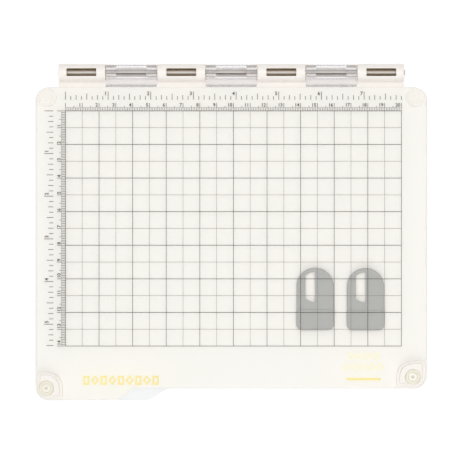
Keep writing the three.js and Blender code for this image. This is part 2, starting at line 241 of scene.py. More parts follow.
class Nodes:
    """A short way to write a material's node tree."""

    def __init__(self, name):
        self.mat = bpy.data.materials.new(name)
        self.mat.use_nodes = True
        self.nt = self.mat.node_tree
        self.nt.nodes.clear()
        self.out = self.nt.nodes.new("ShaderNodeOutputMaterial")
        self.coord = self.nt.nodes.new("ShaderNodeTexCoord").outputs["Object"]

    def node(self, kind, **inputs):
        n = self.nt.nodes.new(kind)
        for k, v in inputs.items():
            key = k.replace("_", " ")
            if hasattr(n, k) and key not in n.inputs:
                setattr(n, k, v)
            elif isinstance(v, bpy.types.NodeSocket):
                self.nt.links.new(v, n.inputs[key])
            else:
                n.inputs[key].default_value = v
        return n

    def scaled(self, s):
        return self.node("ShaderNodeMapping", Vector=self.coord, Scale=s if isinstance(s, tuple) else (s, s, s)).outputs[0]

    def noise(self, scale, detail=3.0, rough=0.55, stretch=None):
        at = self.scaled(stretch) if stretch else self.coord
        return self.node("ShaderNodeTexNoise", Vector=at, Scale=scale, Detail=detail, Roughness=rough).outputs["Fac"]

    def ramp(self, value, low, high, a, b):
        n = self.node("ShaderNodeMapRange", Value=value)
        for key, v in zip(("From Min", "From Max", "To Min", "To Max"), (low, high, a, b)):
            n.inputs[key].default_value = v
        return n.outputs[0]

    def mixed(self, fac, a, b):
        n = self.nt.nodes.new("ShaderNodeMix")
        n.data_type = "RGBA"
        for key, v in ((0, fac), (6, a), (7, b)):
            if isinstance(v, bpy.types.NodeSocket):
                self.nt.links.new(v, n.inputs[key])
            else:
                n.inputs[key].default_value = (*v, 1) if isinstance(v, tuple) and len(v) == 3 else v
        return n.outputs[2]

    def math(self, operation, a, b):
        n = self.nt.nodes.new("ShaderNodeMath")
        n.operation = operation
        for key, v in ((0, a), (1, b)):
            if isinstance(v, bpy.types.NodeSocket):
                self.nt.links.new(v, n.inputs[key])
            else:
                n.inputs[key].default_value = v
        return n.outputs[0]

    def bump(self, height, strength, distance, normal=None):
        n = self.node("ShaderNodeBump", Height=height, Strength=strength, Distance=distance)
        if normal is not None:
            self.nt.links.new(normal, n.inputs["Normal"])
        return n.outputs[0]

    def end(self, shader):
        self.nt.links.new(shader, self.out.inputs["Surface"])
        return self.mat


def moulded(name, base, spread, rough, grain=0.22, depth=0.006, drift=0.012, ior=1.5, coat=0.0, sub=0.0, rim=None):
    """Moulded plastic: slow colour drift from the melt, a spark-eroded grain, finer and glossier patches where it is handled."""
    n = Nodes(name)
    slow = n.noise(14, 4, 0.6)
    fine = n.noise(1 / (grain * MM), 2, 0.5)
    flow = n.noise(40, 3, 0.6, stretch=(0.35, 1.6, 1.0))
    a = tuple(c * (1 - spread) for c in base)
    b = tuple(min(1.0, c * (1 + spread)) for c in base)
    colour = n.mixed(n.ramp(slow, 0.35, 0.65, 0, 1), a, b)
    colour = n.mixed(n.ramp(flow, 0.4, 0.75, 0, drift * 8), colour, tuple(c * f for c, f in zip(base, (0.985, 0.97, 0.945))))
    if rim:  # painted shade: a darker brown deep in the bore and the windows, the plain cream at the mouth
        z = n.node("ShaderNodeSeparateXYZ", Vector=n.coord).outputs["Z"]
        colour = n.mixed(n.math("ADD", n.ramp(z, 0.0146, 0.0164, 0, 1), n.ramp(slow, 0.3, 0.7, -0.1, 0.1)), colour, rim)
    roughness = n.math("ADD", n.ramp(slow, 0.3, 0.7, rough - 0.04, rough + 0.04), n.ramp(fine, 0.3, 0.7, -0.05, 0.05))
    normal = n.bump(n.noise(380, 3, 0.5), 0.06, 0.0004)
    normal = n.bump(fine, 0.25, depth * MM * 2, normal)
    p = n.node("ShaderNodeBsdfPrincipled", Base_Color=colour, Roughness=roughness, Normal=normal, IOR=ior)
    if coat:
        p.inputs["Coat Weight"].default_value = coat
        p.inputs["Coat Roughness"].default_value = 0.18
    if sub:
        p.inputs["Subsurface Weight"].default_value = sub
        p.inputs["Subsurface Scale"].default_value = 0.002
        p.inputs["Subsurface Radius"].default_value = (1.0, 0.8, 0.6)
    return n.end(p.outputs[0])


def clear(name, tint=(0.972, 0.998, 0.99), thick=None, ior=1.49, rough=0.0, haze=0.035, wobble=0.05):
    """Clear plastic. Lamps and diffuse light go straight through it, so that what lies under it is lit evenly.
    thick is the darker tint of the hinge knuckles, which are three times as thick as the plate; the tint is partly the
    thicker plastic's colour and partly painted shade for the shade under and inside the knuckles."""
    n = Nodes(name)
    wave = n.noise(22, 2, 0.4)
    cloud = n.noise(60, 4, 0.6)
    scuff = n.noise(700, 2, 0.5, stretch=(1, 0.12, 1))
    colour = n.mixed(n.ramp(wave, 0.35, 0.65, 0, 1), tint, tuple(min(1, c + 0.006) for c in tint))
    through = (1, 1, 1)
    if thick:
        y = n.node("ShaderNodeSeparateXYZ", Vector=n.coord).outputs["Y"]
        # the knuckles' tint, partly painted shade
        root = n.ramp(y, 0.0864, 0.0874, 0, 1)
        colour = n.mixed(root, colour, thick)
        through = n.mixed(root, (1, 1, 1), tuple(c ** 0.5 for c in thick))
        # cut edges of the plate carry a little more colour than its faces, and are tinted darker still: painted shade
        # for the dark outline along the plate's edges
        nz = n.math("ABSOLUTE", n.node("ShaderNodeSeparateXYZ", Vector=n.node("ShaderNodeTexCoord").outputs["Normal"]).outputs["Z"], 0.0)
        edge = n.math("MULTIPLY", n.ramp(nz, 0.85, 0.95, 0.8, 0), n.math("SUBTRACT", 1.0, root))
        colour = n.mixed(edge, colour, (0.78, 0.81, 0.8))
        # the bore faces are left almost clear, without the knuckles' darker tint
        z = n.node("ShaderNodeSeparateXYZ", Vector=n.coord).outputs["Z"]
        dy = n.math("SUBTRACT", y, 0.0952)
        dz = n.math("SUBTRACT", z, 0.0134)
        bore = n.math("LESS_THAN", n.math("ADD", n.math("MULTIPLY", dy, dy), n.math("MULTIPLY", dz, dz)), 0.0021 ** 2)
        colour = n.mixed(bore, colour, (0.985, 0.98, 0.985))
        # the walls of the windows are tinted darker: painted shade for the dark lines along the window edges
        window_wall_shade = n.math("MULTIPLY", n.math("SUBTRACT", 1.0, bore), n.ramp(n.math("ABSOLUTE", dy, 0.0), 0.0035, 0.0037, 1, 0))
        window_wall_shade = n.math("MULTIPLY", window_wall_shade, n.ramp(nz, 0.85, 0.95, 1, 0))
        colour = n.mixed(window_wall_shade, colour, (0.82, 0.82, 0.83))
    roughness = n.math("ADD", n.ramp(cloud, 0.3, 0.8, rough, rough + haze), n.ramp(scuff, 0.62, 0.8, 0, haze))
    if thick:  # the knuckles' front faces keep the matt finish of the mould; their colour is also lifted almost to clear, painted light that lightens the dark line along these faces
        z = n.node("ShaderNodeSeparateXYZ", Vector=n.coord).outputs["Z"]
        front = n.math("MULTIPLY", n.ramp(y, 0.0845, 0.0851, 0, 1), n.ramp(y, 0.0895, 0.0902, 1, 0))
        front = n.math("MULTIPLY", front, n.ramp(z, 0.0148, 0.0152, 1, 0))
        roughness = n.math("MAXIMUM", roughness, n.math("MULTIPLY", front, 0.42))
        colour = n.mixed(front, colour, (0.995, 0.995, 0.995))
    normal = n.bump(wave, wobble, 0.0003)
    g = n.node("ShaderNodeBsdfPrincipled", Base_Color=colour, Roughness=roughness, Normal=normal, IOR=ior)
    g.inputs["Transmission Weight"].default_value = 1.0
    t = n.nt.nodes.new("ShaderNodeBsdfTransparent")
    if isinstance(through, tuple):
        t.inputs["Color"].default_value = (*through, 1)
    else:
        n.nt.links.new(through, t.inputs["Color"])
    path = n.nt.nodes.new("ShaderNodeLightPath")
    deep = n.math("MAXIMUM", n.math("GREATER_THAN", path.outputs["Ray Depth"], 5.5),
                  n.math("GREATER_THAN", path.outputs["Glossy Depth"], 2.5))  # light trapped in the plate leaves it again
    fac = n.math("MAXIMUM", n.math("MAXIMUM", path.outputs["Is Shadow Ray"], path.outputs["Is Diffuse Ray"]), deep)
    m = n.node("ShaderNodeMixShader")
    n.nt.links.new(fac, m.inputs[0])
    n.nt.links.new(g.outputs[0], m.inputs[1])
    n.nt.links.new(t.outputs[0], m.inputs[2])
    return n.end(m.outputs[0])


def steel(name, base, rough, stretch, lines=900, warm=0.03, depth=0.0015, dark_at=()):
    """Drawn or rolled steel: fine lines along the work, and faint staining."""
    n = Nodes(name)
    grain = n.noise(lines, 3, 0.6, stretch=stretch)
    stain = n.noise(90, 4, 0.6)
    colour = n.mixed(n.ramp(grain, 0.3, 0.7, 0, 1), tuple(c * 0.93 for c in base), tuple(min(1, c * 1.05) for c in base))
    colour = n.mixed(n.ramp(stain, 0.45, 0.8, 0, 0.5), colour, (base[0] * (0.97 + warm), base[1] * 0.93, base[2] * 0.86))
    roughness = n.math("ADD", n.ramp(grain, 0.25, 0.75, rough - 0.05, rough + 0.07), n.ramp(stain, 0.5, 0.8, 0, 0.06))
    if dark_at:  # the dark line that the photo shows on the rod in each of the lid's windows; its cause isn't known, so it is drawn on
        at = n.node("ShaderNodeSeparateXYZ", Vector=n.coord).outputs
        line = n.math("MULTIPLY", n.ramp(at["Y"], 0.0940, 0.0943, 0, 1), n.ramp(at["Y"], 0.0946, 0.0949, 1, 0))
        line = n.math("MULTIPLY", line, n.ramp(at["Z"], 0.0134, 0.0136, 0, 1))
        span = 0.0
        for x in dark_at:
            off = n.math("ABSOLUTE", n.math("SUBTRACT", at["X"], x * MM), 0.0)
            span = n.math("ADD", n.ramp(off, 0.0086, 0.0092, 1, 0), span)
        colour = n.mixed(n.math("MULTIPLY", line, span), colour, tuple(c * 0.3 for c in base))
    p = n.node("ShaderNodeBsdfPrincipled", Base_Color=colour, Roughness=roughness,
               Normal=n.bump(grain, 0.3, depth * MM), Metallic=1.0)
    return n.end(p.outputs[0])


def rubber(name, base, rough=0.75, grain=0.5, lift=0.1):
    n = Nodes(name)
    fine = n.noise(1 / (grain * MM), 4, 0.6)
    dust = n.noise(220, 5, 0.7)
    colour = n.mixed(n.ramp(fine, 0.3, 0.7, 0, 1), tuple(c * 0.85 for c in base), tuple(min(1, c * 1.15) for c in base))
    colour = n.mixed(n.ramp(dust, 0.5, 0.8, 0, lift), colour, (0.6, 0.58, 0.55))
    p = n.node("ShaderNodeBsdfPrincipled", Base_Color=colour, Roughness=n.ramp(fine, 0.3, 0.7, rough - 0.06, rough + 0.08),
               Normal=n.bump(fine, 0.5, 0.00004), IOR=1.5)
    return n.end(p.outputs[0])


def ink(name, base, thin=0.12):
    """Screen-printed ink: solid, with a slightly uneven lay."""
    n = Nodes(name)
    lay = n.noise(2600, 3, 0.6)
    slow = n.noise(30, 2, 0.5)
    colour = n.mixed(n.ramp(lay, 0.35, 0.7, 0, 1), base, tuple(min(1, c * (1 + thin) + 0.02) for c in base))
    colour = n.mixed(n.ramp(slow, 0.4, 0.7, 0, 0.15), colour, tuple(min(1, c * 1.3 + 0.02) for c in base))
    p = n.node("ShaderNodeBsdfPrincipled", Base_Color=colour, Roughness=n.ramp(lay, 0.3, 0.7, 0.42, 0.6),
               Normal=n.bump(lay, 0.2, 0.000004))
    return n.end(p.outputs[0])


CREAM = moulded("cream_plastic", (0.93, 0.885, 0.835), 0.006, 0.36, grain=0.18, depth=0.004, coat=0.08)
# painted shade for the bore and the knuckle windows: a darker brown that fades to cream towards the mouth
BORE_SHADE = moulded("cream_plastic_bore_shade", (0.66, 0.52, 0.34), 0.05, 0.5, grain=0.3, depth=0.01, rim=(0.93, 0.87, 0.8))
POST = moulded("post_plastic", (0.925, 0.862, 0.81), 0.008, 0.4, grain=0.15, depth=0.004)
COVER = moulded("cover_plastic", (0.86, 0.82, 0.76), 0.012, 0.52, grain=0.35, depth=0.02)
# the rivets are a darker beige than their pins: partly the nylon's own colour, partly painted shade for the counterbore
# around each pin
NYLON = moulded("ivory_nylon", (0.86, 0.79, 0.655), 0.015, 0.45, grain=0.2, depth=0.004)
# painted shade: the darker brown inside each pin's dimple
DIMPLE_SHADE = moulded("ivory_nylon_dimple_shade", (0.74, 0.66, 0.55), 0.02, 0.5, grain=0.2, depth=0.003)
PIN = moulded("ivory_nylon_pin", (0.95, 0.9, 0.81), 0.01, 0.4, grain=0.2, depth=0.003)
SILICONE = clear("bumper_silicone", tint=(0.965, 0.95, 0.93), ior=1.41, rough=0.22, haze=0.08)
# painted light: the magnet's window walls are a lighter grey than its body, to throw light into the window and lift its
# shade
GREY_WINDOW_LIT = moulded("grey_plastic_window_painted_light", (0.8, 0.79, 0.77), 0.02, 0.5, grain=0.16, depth=0.004, drift=0.004)
GREY = moulded("grey_plastic", (0.398, 0.388, 0.372), 0.02, 0.44, grain=0.16, depth=0.006, drift=0.004)
# the knuckle tint is partly painted shade
GLASS = clear("clear_plastic", thick=(0.95, 0.945, 0.965))
ROD = steel("rod_steel", (0.66, 0.63, 0.6), 0.42, (0.02, 1, 1), dark_at=LID_KNUCKLE_X)
SHEET = steel("sheet_steel", (0.5, 0.51, 0.52), 0.34, (0.03, 1, 1), lines=500)
SCREW = steel("screw_steel", (0.6, 0.6, 0.58), 0.28, (1, 1, 1), lines=700)
NICKEL = steel("magnet_nickel", (0.74, 0.73, 0.7), 0.16, (1, 1, 1), lines=300)
FOOT = rubber("foot_rubber", (0.035, 0.035, 0.036))
PAD = rubber("pad_rubber", (0.09, 0.09, 0.088), rough=0.88, grain=0.35)
INK = ink("grid_ink", (0.045, 0.029, 0.022))
INK_PALE = ink("grid_ink_pale", (0.185, 0.15, 0.128))
YELLOW = ink("yellow_ink", (0.9, 0.77, 0.32), thin=0.05)
YELLOW_PALE = ink("yellow_ink_pale", (0.91, 0.87, 0.62), thin=0.04)


def finish_piece(o, material, body, node=None):
    o.data.materials.clear()
    o.data.materials.append(material)
    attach(o, body)
    if node:
        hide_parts(node)
    return o


# ------------------------------------------------------------------ camera, light and floor

cam_data = bpy.data.cameras.new("camera")
camera = bpy.data.objects.new("camera", cam_data)
bpy.context.scene.collection.objects.link(camera)
CAMERA_Z = 1.9
camera.location = (0.0007, -0.0003, CAMERA_Z)
camera.rotation_euler = (0, 0, 0)
cam_data.sensor_width = 36
cam_data.lens = 36 * (CAMERA_Z - 0.018) / 0.2768
cam_data.clip_start, cam_data.clip_end = 0.05, 20
bpy.context.scene.camera = camera

scene = bpy.context.scene
scene.view_settings.view_transform = "Standard"

world = bpy.data.worlds.new("world")
scene.world = world
world.use_nodes = True
background = world.node_tree.nodes["Background"]
background.inputs["Color"].default_value = (1.0, 1.0, 1.0, 1)
background.inputs["Strength"].default_value = 0.44
path = world.node_tree.nodes.new("ShaderNodeLightPath")
sharp = world.node_tree.nodes.new("ShaderNodeMath")  # gloss and clear plastic look into a brighter tent
sharp.operation = "MAXIMUM"
world.node_tree.links.new(path.outputs["Is Glossy Ray"], sharp.inputs[0])
world.node_tree.links.new(path.outputs["Is Transmission Ray"], sharp.inputs[1])
tent = world.node_tree.nodes.new("ShaderNodeMapRange")
tent.inputs["To Min"].default_value, tent.inputs["To Max"].default_value = 0.44, 0.74
world.node_tree.links.new(sharp.outputs[0], tent.inputs["Value"])
world.node_tree.links.new(tent.outputs["Result"], background.inputs["Strength"])


def area(name, location, target, size, watts, glossy=True):
    data = bpy.data.lights.new(name, "AREA")
    data.shape, data.size, data.energy = "SQUARE", size, watts
    o = bpy.data.objects.new(name, data)
    scene.collection.objects.link(o)
    o.location = location
    o.rotation_euler = (Vector(target) - Vector(location)).to_track_quat("-Z", "Y").to_euler()
    o.visible_glossy = o.visible_transmission = glossy
    return o


area("soft_top", (0, 0.1, 2.3), (0, 0, 0), 2.6, 9.5)
area("key", (0.02, 0.15, 2.2), (0, 0, 0), 0.9, 14.5, glossy=False)
area("fill_front", (0.1, -1.85, 1.3), (0, 0, 0), 1.3, 11.8, glossy=False)
area("fill_rear", (-0.1, 1.85, 1.3), (0, 0.05, 0), 1.3, 5.5, glossy=False)

floor = link("floor", [(-3000, -3000, 0), (3000, -3000, 0), (3000, 3000, 0), (-3000, 3000, 0)], [(0, 1, 2, 3)])
n = Nodes("floor")
wash = n.noise(3, 2, 0.5)
d = n.node("ShaderNodeBsdfDiffuse", Color=n.mixed(n.ramp(wash, 0.3, 0.7, 0, 1), (0.3, 0.3, 0.3), (0.31, 0.31, 0.31)))
seen = n.nt.nodes.new("ShaderNodeLightPath").outputs["Is Camera Ray"]  # a sweep lit to white, with less light thrown back at the part
e = n.node("ShaderNodeEmission", Color=(1, 1, 1, 1), Strength=n.ramp(seen, 0, 1, 0.6, 0.74))
s = n.node("ShaderNodeAddShader")
n.nt.links.new(d.outputs[0], s.inputs[0])
n.nt.links.new(e.outputs[0], s.inputs[1])
t = n.node("ShaderNodeBsdfTransparent")
under = n.node("ShaderNodeMixShader", Fac=n.nt.nodes.new("ShaderNodeNewGeometry").outputs["Backfacing"])  # open from below
n.nt.links.new(s.outputs[0], under.inputs[1])
n.nt.links.new(t.outputs[0], under.inputs[2])
floor.data.materials.append(n.end(under.outputs[0]))

# ------------------------------------------------------------------ base shell

base_outline = [(-BASE_HALF_X, BASE_TAB_Y), (BASE_SLANT[0], BASE_TAB_Y), (BASE_SLANT[1], BASE_FRONT_Y),
                (BASE_HALF_X, BASE_FRONT_Y), (BASE_HALF_X, BASE_BACK_Y), (-BASE_HALF_X, BASE_BACK_Y)]
base_radii = [CORNER_R, 1.5, 2.5, CORNER_R, CORNER_R, CORNER_R]


def less(radii, d):
    return [max(0.6, r - d) for r in radii]


def straight_inset(points, d):
    return inset(points, d)


trough_r = KNUCKLE_R + 0.3
lip = math.degrees(math.asin((AXIS_Z - SURFACE_Z) / trough_r))
rail_profile = ([(78, SHELL_Z), (AXIS_Y + KNUCKLE_R - 0.6, SHELL_Z), (AXIS_Y + KNUCKLE_R, SHELL_Z + 0.6)]
                + arc(AXIS_Y + KNUCKLE_R - 0.5, RAIL_FLOOR_Z - 0.5, 0.5, 0, 90, 4)
                + arc(AXIS_Y, AXIS_Z, trough_r, 270, 180 + lip, 16) + [(78, SURFACE_Z)])
ROOT = 1.8  # fillet between each knuckle and the work surface
knuckle_profile = ([(AXIS_Y - KNUCKLE_R - ROOT - 0.3, 9.0), (AXIS_Y - 4, 7), (AXIS_Y + KNUCKLE_R, 7)] + arc(AXIS_Y, AXIS_Z, KNUCKLE_R, 0, 180, 44)
                   + arc(AXIS_Y - KNUCKLE_R - ROOT, SURFACE_Z + ROOT - 0.03, ROOT, 0, -90, 10) + [(AXIS_Y - KNUCKLE_R - ROOT - 0.3, SURFACE_Z - 0.03)])

shell = slab("shell", rounded(base_outline, base_radii), SHELL_Z, SURFACE_Z, top=0.8, bottom=0.5, segs=5)
parts = [slab("rail", rail_profile, -RAIL_HALF_X, RAIL_HALF_X, top=0.35, bottom=0.35, segs=3, along="x")]
for x0, x1 in BASE_KNUCKLES:
    parts.append(slab("knuckle", knuckle_profile, x0, x1, top=0.35, bottom=0.35, segs=3, along="x"))
merge(shell, parts)
cutters = [
    slab("cavity", rounded(inset(base_outline, WALL), less(base_radii, WALL)), SHELL_Z - 1, SURFACE_Z - SKIN),
    block("rail_cavity", -RAIL_HALF_X + WALL, RAIL_HALF_X - WALL, 80, AXIS_Y + KNUCKLE_R - WALL, SHELL_Z - 1, RAIL_FLOOR_Z - WALL),
    lathe("bore", [(0, BLIND_X), (BORE_R, BLIND_X), (BORE_R, RAIL_HALF_X + 1), (0, RAIL_HALF_X + 1)], sides=48, along="x"),
]
for x in BASE_WINDOW_X:
    w, h = 8.9, 2.3
    cutters.append(slab("window", rounded([(x - w, AXIS_Y - h), (x + w, AXIS_Y - h), (x + w, AXIS_Y + h), (x - w, AXIS_Y + h)], 0.6, 6), 10.4, 20))
for x, y in POSTS.values():
    cutters.append(lathe("hole", [(0, 7), (2.5, 7), (2.5, 12), (0, 12)], x, y, 32))
for x, y in BUMPERS.values():
    cutters.append(lathe("recess", [(0, SURFACE_Z - 0.5), (BUMPER_R + FIT, SURFACE_Z - 0.5), (BUMPER_R + FIT, 12), (0, 12)], x, y, 64))
cut(shell, *cutters)
ease(shell, 0.18, 3)
# the cut leaves thin faces across the bore at some window ends
bm = bmesh.new()
bm.from_mesh(shell.data)
unit = 1 if max(abs(v.co.x) for v in bm.verts) > 1 else MM


def from_axis(co):
    return math.hypot(co.y / unit - AXIS_Y, co.z / unit - AXIS_Z)


stray = [f for f in bm.faces if f.calc_center_median().x / unit > BLIND_X + 0.5 and from_axis(f.calc_center_median()) < BORE_R - 0.07
         and all(from_axis(v.co) < BORE_R + 0.03 for v in f.verts)]
bmesh.ops.delete(bm, geom=stray, context="FACES")
bm.to_mesh(shell.data)
bm.free()
finish_piece(shell, CREAM, "base", "base_top_shell")
# faces in the bore and in the knuckle windows take the painted bore shade
shell.data.materials.append(BORE_SHADE)
for p in shell.data.polygons:
    x, y, z = (c / MM for c in p.center)
    if (math.hypot(y - AXIS_Y, z - AXIS_Z) < BORE_R + 0.1
            or (abs(y - AXIS_Y) < 2.36 and 10 < z < 16.8 and min(abs(x - w) for w in BASE_WINDOW_X) < 8.96)):
        p.material_index = 1

# ------------------------------------------------------------------ posts, rivets, pins and bumpers

for side, (cx, cy) in POSTS.items():
    if side == "left":
        front = BASE_TAB_Y + 1.2
        pts = [(-LID_HALF_X, front), (cx + POST_R, front), (cx + POST_R, cy + POST_R), (-LID_HALF_X, cy + POST_R)]
        radii = [6.2, 0.8, POST_R, 2.0]
    else:
        front = BASE_FRONT_Y + 1.2
        pts = [(cx - POST_R, front), (LID_HALF_X, front), (LID_HALF_X, cy + POST_R), (cx - POST_R, cy + POST_R)]
        radii = [0.8, 6.2, 2.0, POST_R]
    post = slab("post_" + side, rounded(pts, radii, 24), SURFACE_Z + FIT, POST_FLANGE_Z, top=0.35, bottom=0.1, segs=3)
    merge(post, [slab("upper", rounded(inset(pts, POST_STEP), less(radii, POST_STEP), 24), SURFACE_Z + FIT, POST_TOP_Z, top=0.5, segs=4)])
    cut(post,
        lathe("hole", [(0, 9), (2.5, 9), (2.5, 16), (0, 16)], cx, cy, 32),
        lathe("seat", [(0, 13.4), (4.5, 13.4), (4.5, 14.3), (5.1, 14.72), (5.1, 16), (0, 16)], cx, cy, 72))
    ease(post, 0.15, 3)
    finish_piece(post, POST, "base", "front_post_" + side)

    # its darker beige is partly painted shade
    rivet = smooth(lathe("rivet_" + side, [
        (1.3, 7.2), (1.7, 7.2), (1.95, 7.4), (2.2, 8.0), (2.2, 13.6), (2.3, 13.7), (4.3, 13.7), (4.4, 13.8), (4.4, 14.05), (4.32, 14.25),
        (4.05, 14.42), (3.7, 14.54), (3.2, 14.6), (2.8, 14.6), (2.66, 14.54), (2.6, 14.4), (2.6, 14.0), (1.3, 13.6), (1.3, 7.2)], cx, cy, 72))
    finish_piece(rivet, NYLON, "base", "post_rivet_" + side)
    pin = smooth(lathe("pin_" + side, [
        (0, 7.5), (0.8, 7.5), (1.0, 7.7), (1.0, 13.75), (2.42, 14.26), (2.48, 14.32), (2.46, 14.42), (2.3, 14.52), (2.1, 14.56), (1.15, 14.56),
        (1.04, 14.52), (0.96, 14.4), (0.9, 14.15), (0.7, 14.0), (0, 13.96)], cx, cy, 56))
    finish_piece(pin, PIN, "base", "rivet_pin_" + side)
    # painted shade: the faces of the dimple take the darker brown
    pin.data.materials.append(DIMPLE_SHADE)
    for p in pin.data.polygons:
        if p.center.z > 0.0138 and math.hypot(p.center.x - cx * MM, p.center.y - cy * MM) < 0.00106:
            p.material_index = 1

    bx, by = BUMPERS[side]
    bumper = smooth(lathe("bumper_" + side, [
        (0, SURFACE_Z - 0.2), (5.3, SURFACE_Z - 0.2), (5.5, SURFACE_Z - 0.1), (5.6, SURFACE_Z + 0.1), (5.6, 13.0), (5.52, 13.5), (5.3, 13.95),
        (4.95, 14.3), (4.5, 14.52), (3.9, 14.64), (3.0, 14.7), (0, 14.7)], bx, by, 72))
    finish_piece(bumper, SILICONE, "base", "rear_bumper_" + side)

# ------------------------------------------------------------------ underside: cover, feet, screws, and the sheet inside

cover_outline = inset(base_outline, WALL + FIT)
cover = slab("cover", rounded(cover_outline, less(base_radii, WALL + FIT)), SHELL_Z, 3.8, bottom=0.3, segs=3)
merge(cover, [block("tail", -RAIL_HALF_X + WALL + FIT, RAIL_HALF_X - WALL - FIT, 80, AXIS_Y + KNUCKLE_R - WALL - FIT, SHELL_Z, 3.8)]
      + [block("rib", -100, 100, y - 0.8, y + 0.8, 3.3, 6.9) for y in (-45, 0, 45)]
      + [block("rib", x - 0.8, x + 0.8, -80, 72, 3.3, 6.9) for x in (-66, 0, 66)])
cutters = []
for x, y in SCREWS:
    cutters.append(lathe("well", [(0, 0.6), (3.0, 0.6), (3.0, 3.0), (1.45, 3.0), (1.45, 5), (0, 5)], x, y, 48))
for x, y in FEET.values():
    cutters.append(lathe("seat", [(0, 0.6), (6.3, 0.6), (6.3, 2.2), (0, 2.2)], x, y, 64))
for x, y in ((-82, -22), (-82, 40), (-33, -66), (-33, 66), (33, -66), (33, 66), (82, -22), (82, 40)):  # ejector pin marks
    cutters.append(lathe("pin_mark", [(0, 0.6), (3.2, 0.6), (3.2, SHELL_Z), (3.0, SHELL_Z + 0.3), (0, SHELL_Z + 0.3)], x, y, 40))
cut(cover, *cutters)
ease(cover, 0.12, 2)
finish_piece(cover, COVER, "base", "bottom_cover")

for where, (x, y) in FEET.items():
    foot = smooth(lathe("foot_" + where + "_pad", [
        (0, 0.25), (1.2, 0.25), (1.35, 0.0), (2.6, 0.0), (2.75, 0.25), (3.3, 0.25), (3.45, 0.0), (4.6, 0.0), (5.2, 0.04), (5.55, 0.2), (5.75, 0.5),
        (5.95, 1.2), (6.0, 1.9), (0, 1.9)], x, y, 72))
    finish_piece(foot, FOOT, "base", "foot_" + where)

for i, (x, y) in enumerate(SCREWS):
    screw = lathe("screw_%d" % (i + 1), [
        (0, 1.82), (1.2, 1.84), (1.9, 1.92), (2.35, 2.08), (2.58, 2.3), (2.6, 2.65), (2.5, 2.7), (1.05, 2.7), (1.05, 6.6), (0.5, 7.0), (0, 7.0)], x, y, 48)
    turn = math.radians(17 + 41 * i)
    arms = []
    for k in range(2):
        c, s = math.cos(turn + k * math.pi / 2), math.sin(turn + k * math.pi / 2)
        pts = [(x + c * u - s * v, y + s * u + c * v) for u, v in ((-1.45, -0.3), (1.45, -0.3), (1.45, 0.3), (-1.45, 0.3))]
        arms.append(slab("arm", pts, 1.4, 2.42))
    cut(screw, *arms)
    ease(screw, 0.05, 2)
    finish_piece(screw, SCREW, "base", "cover_screw_%d" % (i + 1))

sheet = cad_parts["steel_sheet"]
sheet.data.materials.clear()
sheet.data.materials.append(SHEET)

# ------------------------------------------------------------------ rod

a, b = ROD_X
rod = smooth(lathe("rod", [(0, a), (ROD_R - 0.45, a), (ROD_R - 0.12, a + 0.2), (ROD_R, a + 0.5), (ROD_R, b - 0.5), (ROD_R - 0.12, b - 0.2),
                           (ROD_R - 0.45, b), (0, b)], sides=72, along="x"))
finish_piece(rod, ROD, "rod", "hinge_rod")

# ------------------------------------------------------------------ lid

lid_outline = [(-LID_HALF_X, LID_TAB_Y), (LID_SLANT[0], LID_TAB_Y), (LID_SLANT[1], LID_FRONT_Y),
               (LID_HALF_X, LID_FRONT_Y), (LID_HALF_X, LID_BACK_Y), (-LID_HALF_X, LID_BACK_Y)]
r = CORNER_R - 0.4
lid = slab("lid_clear", rounded(lid_outline, [r, 1.5, 2.5, r, r, r]), LID_Z, LID_TOP_Z, top=0.35, bottom=0.35, segs=4)
parts = []
for x in LID_KNUCKLE_X:
    h = LID_KNUCKLE_HALF
    # the barrel with its thick root, as one profile: flush on top and filleted underneath
    under = math.degrees(math.asin((AXIS_Z - TONGUE_Z) / CLEAR_R))
    profile = ([(84, LID_Z), (TONGUE_Y - 1.0, LID_Z)] + arc(TONGUE_Y - 1.0, LID_Z - 1.0, 1.0, 90, 0, 6)
               + arc(TONGUE_Y + 2.4, TONGUE_Z + 2.4, 2.4, 180, 270, 12)
               + arc(AXIS_Y, AXIS_Z, CLEAR_R, 180 + under, 450, 60) + [(84, LID_TOP_Z)])
    parts.append(slab("tongue", profile, x - h, x + h, top=0.3, bottom=0.3, segs=3, along="x"))
merge(lid, parts)
cutters = [lathe("bore", [(0, -RAIL_HALF_X), (BORE_R, -RAIL_HALF_X), (BORE_R, RAIL_HALF_X), (0, RAIL_HALF_X)], sides=48, along="x")]
for x in LID_KNUCKLE_X:
    w = LID_KNUCKLE_HALF - LID_COLLAR
    cutters.append(block("window", x - w, x + w, LID_WINDOW_Y[0], LID_WINDOW_Y[1], LID_WINDOW_Z, 20))
cut(lid, *cutters)
ease(lid, 0.15, 3)
finish_piece(lid, GLASS, "lid", "lid")

# ------------------------------------------------------------------ print on the lid


